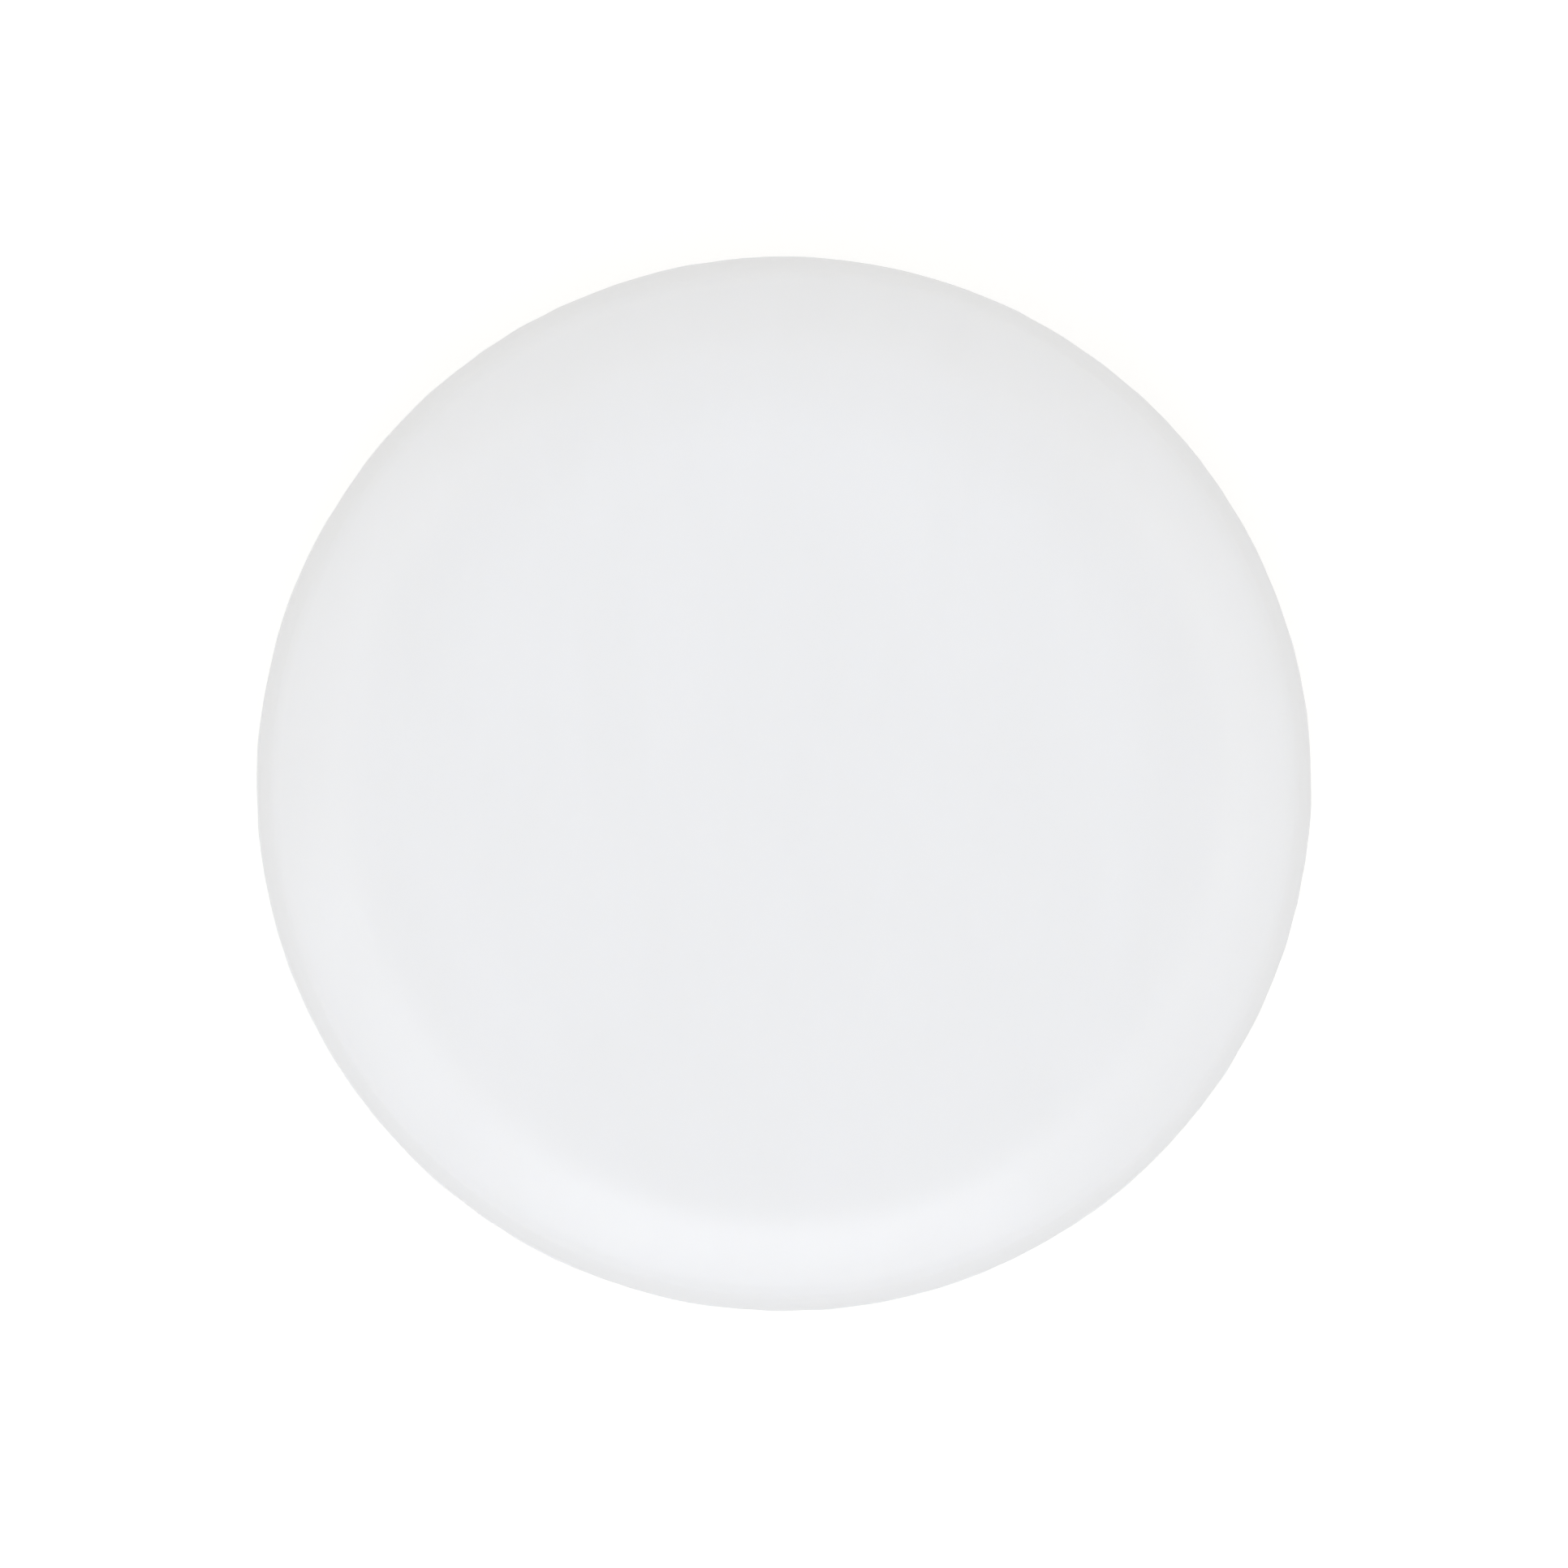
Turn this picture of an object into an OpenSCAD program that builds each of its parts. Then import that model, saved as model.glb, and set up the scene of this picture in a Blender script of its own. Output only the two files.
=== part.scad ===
// Shaving soap puck: one solid cake of hard soap, pressed between two equal dies.
// From the axis outwards, each face has a flat middle, a gentle crown, a short bend, a sloping
// shoulder and a tight edge round. The side wall bulges slightly, to a fine parting line half
// way up, where the dies met.
// Origin: centre of the resting face. +Z is up, along the axis of revolution. Millimetres.

/* [Puck] */
// Diameter across the parting line
puck_d = 72; // [60:1:80]
// Height from the resting face to the top face
puck_h = 25; // [20:1:32]

/* [Crown] */
// Width of the crown, the ring just outside the flat middle
crown_w = 6.1; // [4:0.1:7]
// Tilt of the surface at the crown's outer rim, in degrees from flat
crown_tilt = 14; // [10:1:18]

/* [Bend] */
// Width of the bend between the crown and the shoulder
bend_w = 2.2; // [1.5:0.1:3]
// Tilt of the surface at the bend's outer rim, in degrees from flat
bend_tilt = 28; // [22:1:30]

/* [Shoulder] */
// Width of the sloping shoulder
shoulder_w = 3.1; // [2:0.1:4]
// Tilt of the surface at the shoulder's outer rim, in degrees from flat
shoulder_tilt = 35; // [32:1:42]

/* [Edge] */
// Width of the edge round between the shoulder and the side wall
edge_w = 0.9; // [0.6:0.1:1.5]
// Tilt of the surface where the edge round meets the side wall, in degrees from flat
edge_tilt = 76; // [72:1:82]

/* [Parting line] */
// How far the parting line stands out of the side wall
parting_h = 0.12; // [0.06:0.02:0.2]
// Radius of the parting line's rounded section
parting_r = 0.4; // [0.3:0.05:0.6]

/* [Quality] */
// Facets round a full circle when drawn as a mesh
$fn = 180; // [60:12:240]
// Largest turn between neighbouring points of an arc, in degrees
arc_step = 2.5; // [1.5:0.5:5]

/* [Hidden] */

// Sum of the first n values of a list
function sum_of(list, n) = n == 0 ? 0 : list[n - 1] + sum_of(list, n - 1);
// Height that an arc of a given width falls while its surface tilts from one angle to another
function arc_drop(width, from, to) = width * tan((from + to) / 2);
// Radius of that arc
function arc_radius(width, from, to) = width / (sin(to) - sin(from));
// Unit normal of a surface tilted by an angle from flat, as [radial, up]
function normal(tilt) = [sin(tilt), cos(tilt)];
// Points along an arc from its start, without the start itself
function arc_points(start, radius, from, to) =
    let (steps = ceil((to - from) / arc_step), centre = start - radius * normal(from))
        [for (i = [1:steps]) centre + radius * normal(from + (to - from) * i / steps)];

// The rings of a face outside its flat middle: tilt at each rim, and the width and fall of each
tilts = [0, crown_tilt, bend_tilt, shoulder_tilt, edge_tilt];
face_widths = [crown_w, bend_w, shoulder_w, edge_w];
face_drops = [for (i = [0:3]) arc_drop(face_widths[i], tilts[i], tilts[i + 1])];

// The side wall is one more arc, upright at the parting line: its half height and its bulge
wall_h = puck_h / 2 - sum_of(face_drops, 4);
wall_bulge = wall_h / tan((edge_tilt + 90) / 2);

// All five arcs, from the flat middle to the parting line
rims = concat(tilts, 90);
widths = concat(face_widths, wall_bulge);
drops = concat(face_drops, wall_h);
flat_r = puck_d / 2 - parting_h - sum_of(widths, 5);

// Outline of the upper half, from the top of the axis to the parting line, with Z = 0 there
half_outline = [
    [0, puck_h / 2],
    [flat_r, puck_h / 2],
    for (i = [0:4])
        let (start = [flat_r + sum_of(widths, i), puck_h / 2 - sum_of(drops, i)])
            each arc_points(start, arc_radius(widths[i], rims[i], rims[i + 1]), rims[i], rims[i + 1])
];
// The lower half mirrors it, without the shared last point on the parting line
last = len(half_outline) - 1;
lower_outline = [for (i = [last - 1:-1:0]) [half_outline[i].x, -half_outline[i].y]];

// Solid of revolution inside the outline
module cake() {
    rotate_extrude() polygon(concat(half_outline, lower_outline));
}

// Raised line round the widest part
module parting_line() {
    rotate_extrude() translate([puck_d / 2 - parting_r, 0]) circle(parting_r);
}

module soap_puck() {
    color("whitesmoke")
        translate([0, 0, puck_h / 2]) {
            cake();
            parting_line();
        }
}

soap_puck();
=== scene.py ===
"""Looks of the shaving soap puck: its detailed mesh, the soap material, the light and the camera.

Everything is in metres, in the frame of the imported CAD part: the puck stands on z = 0 with its
axis along Z. The puck's section is read from the CAD node, so a change to its size needs no edit.
"""

import math

import bpy
import numpy as np
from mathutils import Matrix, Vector, noise


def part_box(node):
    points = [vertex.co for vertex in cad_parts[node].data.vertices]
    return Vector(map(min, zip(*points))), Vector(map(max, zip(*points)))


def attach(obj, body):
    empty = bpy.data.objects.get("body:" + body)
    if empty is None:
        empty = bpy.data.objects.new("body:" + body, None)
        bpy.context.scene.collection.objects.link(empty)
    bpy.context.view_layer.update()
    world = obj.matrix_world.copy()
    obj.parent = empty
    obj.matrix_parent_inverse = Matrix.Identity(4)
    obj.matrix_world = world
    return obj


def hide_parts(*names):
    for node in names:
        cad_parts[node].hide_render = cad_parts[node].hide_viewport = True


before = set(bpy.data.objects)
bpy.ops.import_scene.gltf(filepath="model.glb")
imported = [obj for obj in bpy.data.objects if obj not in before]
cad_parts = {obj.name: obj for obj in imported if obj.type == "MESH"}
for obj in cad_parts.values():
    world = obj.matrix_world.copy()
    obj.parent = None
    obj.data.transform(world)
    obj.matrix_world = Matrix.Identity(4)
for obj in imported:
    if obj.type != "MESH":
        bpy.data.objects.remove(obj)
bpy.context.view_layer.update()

MM = 0.001
NODE = "soap_puck"
LOW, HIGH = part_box(NODE)
RADIUS = HIGH.x
HEIGHT = HIGH.z
MIDDLE = HEIGHT / 2


# ---------------------------------------------------------------- section of the puck

PARTING_CLEAR = 0.3 * MM  # the CAD's parting line lies within this of the middle height
SECTION_SAMPLES = 6000


def cad_outline():
    """The CAD solid's outline as (radius, height) rows, from its lower to its upper axis point.

    The points of the parting line are left out, because displace() adds a livelier one.
    """
    corners = np.array([v.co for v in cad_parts[NODE].data.vertices])
    radius = np.hypot(corners[:, 0], corners[:, 1])
    points = np.unique(np.round(np.c_[radius, corners[:, 2]], 6), axis=0)
    points = points[np.abs(points[:, 1] - MIDDLE) > PARTING_CLEAR]
    points = points[np.argsort(np.arctan2(points[:, 1] - MIDDLE, points[:, 0]))]
    return np.vstack([[0, 0], points, [0, HEIGHT]])


def hermite(knots, values, at):
    """A smooth curve through the rows of values, at the places in at."""
    slopes = np.empty_like(values)
    slopes[1:-1] = (values[2:] - values[:-2]) / (knots[2:] - knots[:-2])[:, None]
    slopes[0] = (values[1] - values[0]) / (knots[1] - knots[0])
    slopes[-1] = (values[-1] - values[-2]) / (knots[-1] - knots[-2])
    i = np.clip(np.searchsorted(knots, at) - 1, 0, len(knots) - 2)
    span = (knots[i + 1] - knots[i])[:, None]
    t = (at[:, None] - knots[i][:, None]) / span
    return (
        values[i] * (2 * t**3 - 3 * t**2 + 1)
        + values[i + 1] * (3 * t**2 - 2 * t**3)
        + slopes[i] * span * (t**3 - 2 * t**2 + t)
        + slopes[i + 1] * span * (t**3 - t**2)
    )


def section():
    """Fine points of the outline between the two flat middles, and the outward normals there."""
    outline = cad_outline()
    along = np.concatenate([[0], np.cumsum(np.hypot(*np.diff(outline, axis=0).T))])
    at = np.linspace(along[1], along[-2], SECTION_SAMPLES)
    points = hermite(along, outline, at)
    step = np.gradient(points, axis=0)
    step /= np.linalg.norm(step, axis=1)[:, None]
    return points, np.c_[step[:, 1], -step[:, 0]]


# ---------------------------------------------------------------- mesh of the puck

PATCH = 112  # cells along a side of the square grid that is rounded to fill each flat middle
RING_STEP = 0.42 * MM  # widest gap between rings
RING_TURN = math.radians(5)  # most that the surface turns from one ring to the next
PARTING_RINGS = 14  # extra rings that the parting line gets
PARTING_SPREAD = 0.3 * MM


def ring_places(points, normals):
    """Which of the fine section points get a ring: close together on curves and at the middle."""
    run = np.concatenate([[0], np.cumsum(np.hypot(*np.diff(points, axis=0).T))])
    tilt = np.unwrap(np.arctan2(normals[:, 0], normals[:, 1]))
    parting = np.tanh((points[:, 1] - MIDDLE) / PARTING_SPREAD)
    rings = run / RING_STEP + np.abs(tilt - tilt[0]) / RING_TURN + parting * PARTING_RINGS / 2
    rings -= rings[0]
    wanted = np.linspace(0, rings[-1], math.ceil(rings[-1]) + 1)
    return np.interp(wanted, rings, np.arange(len(points)))


def patch_plan(radius):
    """Plan positions of a square grid rounded to a disc, row by row: its rim is evenly spaced."""
    side = np.linspace(-1, 1, PATCH + 1)
    a, b = np.meshgrid(side, side)
    wide = np.abs(a) > np.abs(b)
    reach = np.where(wide, a, b)
    with np.errstate(divide="ignore", invalid="ignore"):
        turn = np.where(wide, b / a * math.pi / 4, math.pi / 2 - a / b * math.pi / 4)
    turn = np.where(reach == 0, 0, turn)
    return np.c_[(reach * np.cos(turn)).ravel(), (reach * np.sin(turn)).ravel()] * radius


def patch_rim():
    """Indexes of the patch's rim, anticlockwise from its lower right corner, at -45 degrees."""
    row = PATCH + 1
    right = [j * row + PATCH for j in range(PATCH)]
    top = [PATCH * row + i for i in range(PATCH, 0, -1)]
    left = [j * row for j in range(PATCH, 0, -1)]
    bottom = list(range(PATCH))
    return np.array(right + top + left + bottom)


def puck_surface():
    """Vertices, outward normals and quads of the smooth puck, before any unevenness."""
    points, normals = section()
    places = ring_places(points, normals)
    index = np.arange(len(points))
    rings = np.c_[[np.interp(places, index, column) for column in (*points.T, *normals.T)]].T
    plan = patch_plan(rings[0, 0])
    rim = patch_rim()
    around = np.arctan2(plan[rim, 1], plan[rim, 0])
    patch_size = len(plan)

    inner = rings[1:-1]
    side = np.empty((len(inner), len(rim), 6))
    for column, flat in ((0, 0), (3, 2)):
        side[..., column] = inner[:, flat, None] * np.cos(around)
        side[..., column + 1] = inner[:, flat, None] * np.sin(around)
        side[..., column + 2] = inner[:, flat + 1, None]
    flat = np.ones(patch_size)
    lower = np.c_[plan, 0 * flat, 0 * flat, 0 * flat, -flat]
    upper = np.c_[plan, HEIGHT * flat, 0 * flat, 0 * flat, flat]
    rows = np.vstack([lower, upper, side.reshape(-1, 6)])

    # Quads of the two patches, then of the bands from the lower rim to the upper one
    corner = (np.arange(PATCH)[:, None] * (PATCH + 1) + np.arange(PATCH)).ravel()
    square = np.c_[corner, corner + 1, corner + PATCH + 2, corner + PATCH + 1]
    first_ring = 2 * patch_size
    loops = [rim]
    loops += [first_ring + k * len(rim) + np.arange(len(rim)) for k in range(len(inner))]
    loops += [patch_size + rim]
    bands = [
        np.c_[below, np.roll(below, -1), np.roll(above, -1), above]
        for below, above in zip(loops, loops[1:])
    ]
    quads = np.vstack([square[:, ::-1], square + patch_size, *bands])
    return rows[:, :3], rows[:, 3:], quads


# ---------------------------------------------------------------- unevenness of the surface

WAVES = (  # size and depth of each layer of soft unevenness that pressing leaves
    (18 * MM, 0.016 * MM),
    (7 * MM, 0.006 * MM),
    (2.5 * MM, 0.0025 * MM),
)
PARTING_WIDTH = 0.17 * MM
PARTING_WANDER = 0.05 * MM
WORN_LEVEL = 0.72  # how much of the parting line's height is left on average
WORN_LAYERS = ((0.5, 0.22, 5.1), (0.35, 0.045, 8.4))  # strength, size and noise shift of the wear
WORN_LEAST = 0.1

DENTS = 26
DENT_SEED = 7
DENT_HEIGHTS = (0.06 * HEIGHT, 0.94 * HEIGHT)
DENT_WIDTHS = (0.5 * MM, 1.5 * MM)
DENT_STRETCHES = (1.0, 2.2)  # width along the wall over width up it
DENT_DEPTHS = (0.03 * MM, 0.09 * MM)
DENT_REACH = 6 * MM  # keeps a dent off the far side of the puck


def noise_at(places, size, shift=0.0):
    """Smooth noise from about -1 to 1, one value for each place, with features of a given size."""
    offset = Vector((shift, -shift, 2 * shift))
    return np.array([noise.noise(Vector(p) / size + offset) for p in places])


def soft_waves(places):
    """Depth of the broad, shallow unevenness, never above the smooth surface."""
    depth = np.zeros(len(places))
    for layer, (size, most) in enumerate(WAVES):
        depth += most * (0.5 + 0.5 * np.clip(noise_at(places, size, 3.7 * layer), -1, 1))
    return depth


def dents(places):
    """Depth of a few small knocks on the side wall and around the two edges."""
    draw = np.random.default_rng(DENT_SEED)
    depth = np.zeros(len(places))
    for _ in range(DENTS):
        turn = draw.uniform(0, 2 * math.pi)
        height = draw.uniform(*DENT_HEIGHTS)
        width = draw.uniform(*DENT_WIDTHS)
        stretch = draw.uniform(*DENT_STRETCHES)
        most = draw.uniform(*DENT_DEPTHS)
        centre = np.array([RADIUS * math.cos(turn), RADIUS * math.sin(turn), height])
        away = places - centre
        sideways = away[:, 0] * -math.sin(turn) + away[:, 1] * math.cos(turn)
        near = np.hypot(away[:, 0], away[:, 1]) < DENT_REACH
        gap = (sideways / (width * stretch)) ** 2 + (away[:, 2] / width) ** 2
        depth += np.where(near, most * np.exp(-gap), 0)
    return depth


def parting_line(places):
    """Height of the trimmed flash round the middle: a fine ridge, worn away here and there."""
    turn = np.arctan2(places[:, 1], places[:, 0])
    ring = np.c_[np.cos(turn), np.sin(turn), 0 * turn]
    wander = PARTING_WANDER * noise_at(ring, 0.35, 1.3)
    worn = WORN_LEVEL + sum(most * noise_at(ring, size, shift) for most, size, shift in WORN_LAYERS)
    section_there = np.exp(-(((places[:, 2] - MIDDLE - wander) / PARTING_WIDTH) ** 2))
    return section_there * np.clip(worn, WORN_LEAST, 1)


def displace(places, normals):
    """Moves the smooth surface inwards by its unevenness and raises the parting line to the box."""
    depth = soft_waves(places) + dents(places)
    places = places - normals * depth[:, None]
    reach = np.hypot(places[:, 0], places[:, 1])
    room = np.clip(RADIUS - reach, 0, None) * (reach > 0.9 * RADIUS)
    grown = reach + room * parting_line(places)
    places[:, :2] *= (grown / np.maximum(reach, 1e-9))[:, None]
    places[:, 2] = np.clip(places[:, 2], 0, HEIGHT)
    return places


def make_puck():
    """The detailed puck as one closed mesh."""
    places, normals, quads = puck_surface()
    places = displace(places, normals)
    mesh = bpy.data.meshes.new("soap_puck_detail")
    mesh.from_pydata(places.tolist(), [], quads.tolist())
    mesh.validate()
    mesh.shade_smooth()
    puck = bpy.data.objects.new("soap_puck_detail", mesh)
    bpy.context.scene.collection.objects.link(puck)
    return puck


# ---------------------------------------------------------------- materials


def new_material(name):
    material = bpy.data.materials.new(name)
    material.use_nodes = True
    material.node_tree.nodes.clear()
    return material, material.node_tree


def noise_node(tree, place, scale, detail, roughness=0.5):
    node = tree.nodes.new("ShaderNodeTexNoise")
    node.inputs["Scale"].default_value = scale
    node.inputs["Detail"].default_value = detail
    node.inputs["Roughness"].default_value = roughness
    tree.links.new(place, node.inputs["Vector"])
    return node.outputs["Fac"]


def ramp_node(tree, value, low, high, colours):
    """A ramp from the first colour at low to the second at high."""
    node = tree.nodes.new("ShaderNodeValToRGB")
    node.color_ramp.elements[0].position = low
    node.color_ramp.elements[1].position = high
    node.color_ramp.elements[0].color = (*colours[0], 1)
    node.color_ramp.elements[1].color = (*colours[1], 1)
    tree.links.new(value, node.inputs["Fac"])
    return node.outputs["Color"]


def range_node(tree, value, low, high):
    """value, which runs from about 0.3 to 0.7 in noise, brought to the range from low to high."""
    node = tree.nodes.new("ShaderNodeMapRange")
    node.inputs["From Min"].default_value = 0.3
    node.inputs["From Max"].default_value = 0.7
    node.inputs["To Min"].default_value = low
    node.inputs["To Max"].default_value = high
    tree.links.new(value, node.inputs["Value"])
    return node.outputs["Result"]


WALL_STARTS = 0.962 * RADIUS  # the steep side wall lies outside this radius
WALL_FULL = 0.985 * RADIUS


def wall_mask(tree, place):
    """0 on the two faces, rising to 1 on the side wall."""
    reach = tree.nodes.new("ShaderNodeVectorMath")
    reach.operation = "LENGTH"
    tree.links.new(stretched(tree, place, (1, 1, 0)), reach.inputs[0])
    mask = tree.nodes.new("ShaderNodeMapRange")
    mask.inputs["From Min"].default_value = WALL_STARTS
    mask.inputs["From Max"].default_value = WALL_FULL
    tree.links.new(reach.outputs["Value"], mask.inputs["Value"])
    return mask.outputs["Result"]


def stretched(tree, place, scale):
    """place scaled by three factors: a small one makes long features along its axis."""
    node = tree.nodes.new("ShaderNodeVectorMath")
    node.operation = "MULTIPLY"
    node.inputs[1].default_value = scale
    tree.links.new(place, node.inputs[0])
    return node.outputs["Vector"]


def maths(tree, operation, first, second):
    node = tree.nodes.new("ShaderNodeMath")
    node.operation = operation
    for socket, value in zip(node.inputs, (first, second)):
        if isinstance(value, (int, float)):
            socket.default_value = value
        else:
            tree.links.new(value, socket)
    return node.outputs["Value"]


def bump_node(tree, height, depth, below=None):
    """A bump whose height of 0 to 1 stands for 0 to depth, on top of the bump below."""
    node = tree.nodes.new("ShaderNodeBump")
    node.inputs["Distance"].default_value = depth
    tree.links.new(height, node.inputs["Height"])
    if below is not None:
        tree.links.new(below, node.inputs["Normal"])
    return node.outputs["Normal"]


SOAP_IOR = 1.55
SOAP_TINTS = ((0.799, 0.804, 0.822), (0.806, 0.811, 0.831))  # darkest and palest of the mottling
SOAP_ROUGHNESS = (0.29, 0.33)
WALL_ROUGHER = 0.05
GLOW_SHARE = 0.25  # share of the light that enters the soap and comes out near by
GLOW_DEPTH = 0.8 * MM
GRAIN_DEPTH = 0.0025 * MM
DRAG_DEPTH = 0.02 * MM


def soap_material():
    """Hard milled soap: satin, faintly waxy, off-white with a cool cast and slight mottling."""
    material, tree = new_material("milled_soap")
    place = tree.nodes.new("ShaderNodeTexCoord").outputs["Object"]
    wall = wall_mask(tree, place)
    shader = tree.nodes.new("ShaderNodeBsdfPrincipled")
    shader.inputs["IOR"].default_value = SOAP_IOR
    shader.inputs["Subsurface Weight"].default_value = GLOW_SHARE
    shader.inputs["Subsurface Radius"].default_value = (1.0, 0.95, 0.85)
    shader.inputs["Subsurface Scale"].default_value = GLOW_DEPTH

    # Streaks from the milling, drawn out along one direction through the whole cake
    mottle = noise_node(tree, stretched(tree, place, (1, 0.35, 1)), 260, 5)
    colour = ramp_node(tree, mottle, 0.35, 0.65, SOAP_TINTS)
    tree.links.new(colour, shader.inputs["Base Color"])

    # Rubbed here and there, and a little rougher on the wall
    rub = range_node(tree, noise_node(tree, place, 420, 3), *SOAP_ROUGHNESS)
    rougher = maths(tree, "MULTIPLY", wall, WALL_ROUGHER)
    tree.links.new(maths(tree, "ADD", rub, rougher), shader.inputs["Roughness"])

    # Fine grain all over, and on the wall upright drag marks from leaving the dies
    grain = bump_node(tree, noise_node(tree, place, 2600, 3, 0.6), GRAIN_DEPTH)
    drag = noise_node(tree, stretched(tree, place, (1, 1, 0.07)), 2200, 3, 0.65)
    marks = bump_node(tree, maths(tree, "MULTIPLY", drag, wall), DRAG_DEPTH, grain)
    tree.links.new(marks, shader.inputs["Normal"])

    output = tree.nodes.new("ShaderNodeOutputMaterial")
    tree.links.new(shader.outputs["BSDF"], output.inputs["Surface"])
    return material


FLOOR_GREY = 0.5  # how much light the floor throws back
FLOOR_GLOW = 0.33  # light that the floor gives of its own, as a light table does
FLOOR_LIFT = 0.25  # more glow that only cameras see, the same from everywhere: plain white
FLOOR_TINT = (1, 0.99, 0.97, 1)


def floor_material():
    """Pale matt paper on a light table."""
    material, tree = new_material("white_sweep")
    matt = tree.nodes.new("ShaderNodeBsdfDiffuse")
    matt.inputs["Color"].default_value = (FLOOR_GREY, FLOOR_GREY, FLOOR_GREY, 1)
    glow = tree.nodes.new("ShaderNodeEmission")
    glow.inputs["Color"].default_value = FLOOR_TINT
    seen = tree.nodes.new("ShaderNodeLightPath").outputs["Is Camera Ray"]
    lift = maths(tree, "MULTIPLY", seen, FLOOR_LIFT)
    tree.links.new(maths(tree, "ADD", lift, FLOOR_GLOW), glow.inputs["Strength"])
    both = tree.nodes.new("ShaderNodeAddShader")
    tree.links.new(matt.outputs["BSDF"], both.inputs[0])
    tree.links.new(glow.outputs["Emission"], both.inputs[1])
    output = tree.nodes.new("ShaderNodeOutputMaterial")
    tree.links.new(both.outputs["Shader"], output.inputs["Surface"])
    return material


# ---------------------------------------------------------------- stage, light and camera

FLOOR_SIZE = 40.0


def make_floor():
    """One large square that fills the picture behind the puck from every side."""
    half = FLOOR_SIZE / 2
    corners = [(-half, -half, 0), (half, -half, 0), (half, half, 0), (-half, half, 0)]
    mesh = bpy.data.meshes.new("floor")
    mesh.from_pydata(corners, [], [(0, 1, 2, 3)])
    mesh.materials.append(floor_material())
    floor = bpy.data.objects.new("floor", mesh)
    bpy.context.scene.collection.objects.link(floor)


WARM = (1.05, 1.0, 0.88)
PALE_WARM = (1.01, 1.0, 0.97)
NEUTRAL = (1.0, 1.0, 1.0)
COOL = (0.96, 1.0, 1.07)

TENT = (  # elevation in degrees, brightness there and tint
    (0, 0.6, PALE_WARM),
    (17, 0.6, PALE_WARM),
    (30, 1.2, PALE_WARM),
    (43, 1.0, PALE_WARM),
    (55, 0.9, PALE_WARM),
    (68, 0.5, NEUTRAL),  # the dim band
    (90, 1.1, COOL),
)
PANELS = (  # azimuth, width, lowest and highest elevation in degrees, brightness and tint
    (270, 64, 20, 45, 1.3, COOL),  # the key light, in front
    (236, 34, 15, 45, 0.3, COOL),  # makes it reach further to the left
    (90, 224, -5, 13, 0.5, WARM),  # boards, low down at the sides and back
    (0, 34, 21, 45, 0.5, COOL),  # and the fill lights, at the sides
    (30, 34, 21, 45, 0.5, COOL),
    (150, 34, 21, 45, 0.5, COOL),
    (205, 34, 21, 45, 0.5, COOL),
)
TENT_SCALE = 2.0  # a ramp's colours stay below 1, so it holds the brightness divided by this
PANEL_SOFTNESS = 3  # degrees over which a panel of light fades out at its edges


def sine(degrees):
    return math.sin(math.radians(degrees))


def smooth_step(tree, value, start, end):
    """0 where value is below start, rising smoothly to 1 at end; it falls if end is the smaller."""
    node = tree.nodes.new("ShaderNodeMapRange")
    node.interpolation_type = "SMOOTHSTEP"
    node.inputs["From Min"].default_value = start
    node.inputs["From Max"].default_value = end
    tree.links.new(value, node.inputs["Value"])
    return node.outputs["Result"]


def panel_mask(tree, direction, height, azimuth, width, low, high):
    """1 towards a panel of light that is centred on azimuth, and spans low to high in elevation.

    Azimuth 0 is +X and 90 is +Y. All angles are in degrees.
    """
    level = stretched(tree, direction, (1, 1, 0))
    unit = tree.nodes.new("ShaderNodeVectorMath")
    unit.operation = "NORMALIZE"
    tree.links.new(level, unit.inputs[0])
    along = tree.nodes.new("ShaderNodeVectorMath")
    along.operation = "DOT_PRODUCT"
    along.inputs[1].default_value = (sine(90 - azimuth), sine(azimuth), 0)
    tree.links.new(unit.outputs["Vector"], along.inputs[0])
    soft = PANEL_SOFTNESS / 2
    outer, inner = sine(90 - width / 2 - soft), sine(90 - width / 2 + soft)
    across = smooth_step(tree, along.outputs["Value"], outer, inner)
    above = smooth_step(tree, height, sine(low - soft), sine(low + soft))
    below = smooth_step(tree, height, sine(high + soft), sine(high - soft))
    return maths(tree, "MULTIPLY", across, maths(tree, "MULTIPLY", above, below))


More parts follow.
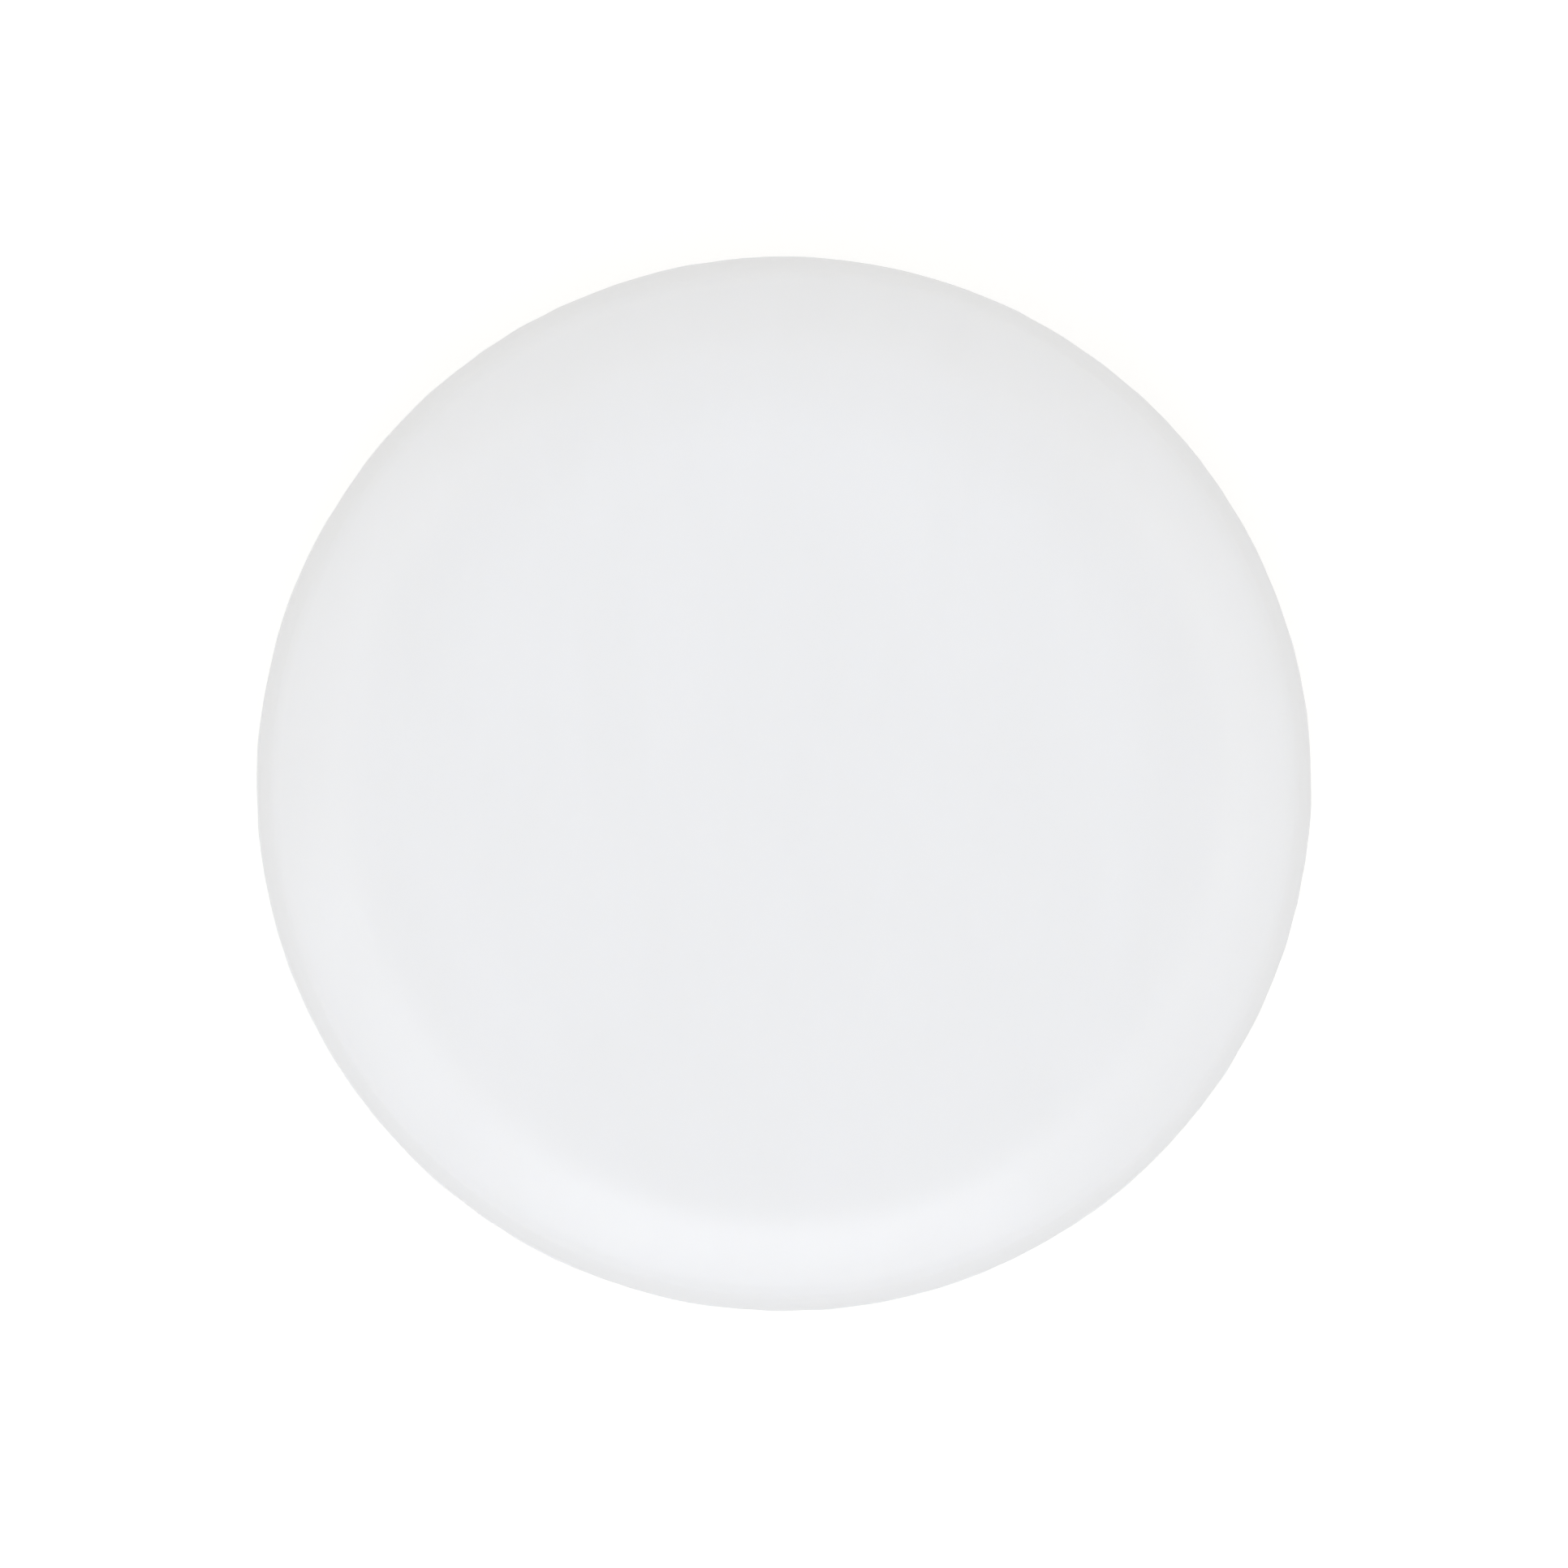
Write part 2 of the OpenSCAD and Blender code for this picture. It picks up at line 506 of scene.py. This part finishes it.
def light_tent():
    """Soft light from all round: a tent that is dim in one band, with panels of light in it."""
    world = bpy.data.worlds.new("light_tent")
    bpy.context.scene.world = world
    world.use_nodes = True
    tree = world.node_tree
    tree.nodes.clear()
    direction = tree.nodes.new("ShaderNodeTexCoord").outputs["Generated"]
    split = tree.nodes.new("ShaderNodeSeparateXYZ")
    tree.links.new(direction, split.inputs["Vector"])
    height = split.outputs["Z"]

    ramp = tree.nodes.new("ShaderNodeValToRGB")
    elements = ramp.color_ramp.elements
    while len(elements) < len(TENT):
        elements.new(0.5)
    for element, (elevation, brightness, tint) in zip(elements, TENT):
        element.position = sine(elevation)
        element.color = (*[brightness / TENT_SCALE * level for level in tint], 1)
    tree.links.new(height, ramp.inputs["Fac"])
    total = stretched(tree, ramp.outputs["Color"], (TENT_SCALE, TENT_SCALE, TENT_SCALE))

    for azimuth, width, low, high, brightness, tint in PANELS:
        mask = panel_mask(tree, direction, height, azimuth, width, low, high)
        add = tree.nodes.new("ShaderNodeVectorMath")
        add.operation = "MULTIPLY_ADD"
        tree.links.new(mask, add.inputs[0])
        add.inputs[1].default_value = [brightness * level for level in tint]
        tree.links.new(total, add.inputs[2])
        total = add.outputs["Vector"]

    background = tree.nodes.new("ShaderNodeBackground")
    tree.links.new(total, background.inputs["Color"])
    output = tree.nodes.new("ShaderNodeOutputWorld")
    tree.links.new(background.outputs["Background"], output.inputs["Surface"])


LENS = 700.0  # millimetres, as the sensor: a long lens, because the view is close to parallel
SENSOR = 36.0
PUCK_SHARE = 0.6734  # the puck's width as a share of the picture's


def make_camera():
    """Straight above the puck, with +Y up in the picture."""
    data = bpy.data.cameras.new("camera")
    data.lens = LENS
    data.sensor_width = SENSOR
    distance = 2 * RADIUS / PUCK_SHARE * LENS / SENSOR
    data.clip_start = distance / 100
    data.clip_end = distance * 100
    camera = bpy.data.objects.new("camera", data)
    camera.location = (0, 0, MIDDLE + distance)
    bpy.context.scene.collection.objects.link(camera)
    bpy.context.scene.camera = camera


# ---------------------------------------------------------------- everything together

puck = make_puck()
puck.data.materials.append(soap_material())
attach(puck, "root")
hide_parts(NODE)

make_floor()
light_tent()
make_camera()
bpy.context.scene.view_settings.view_transform = "Standard"
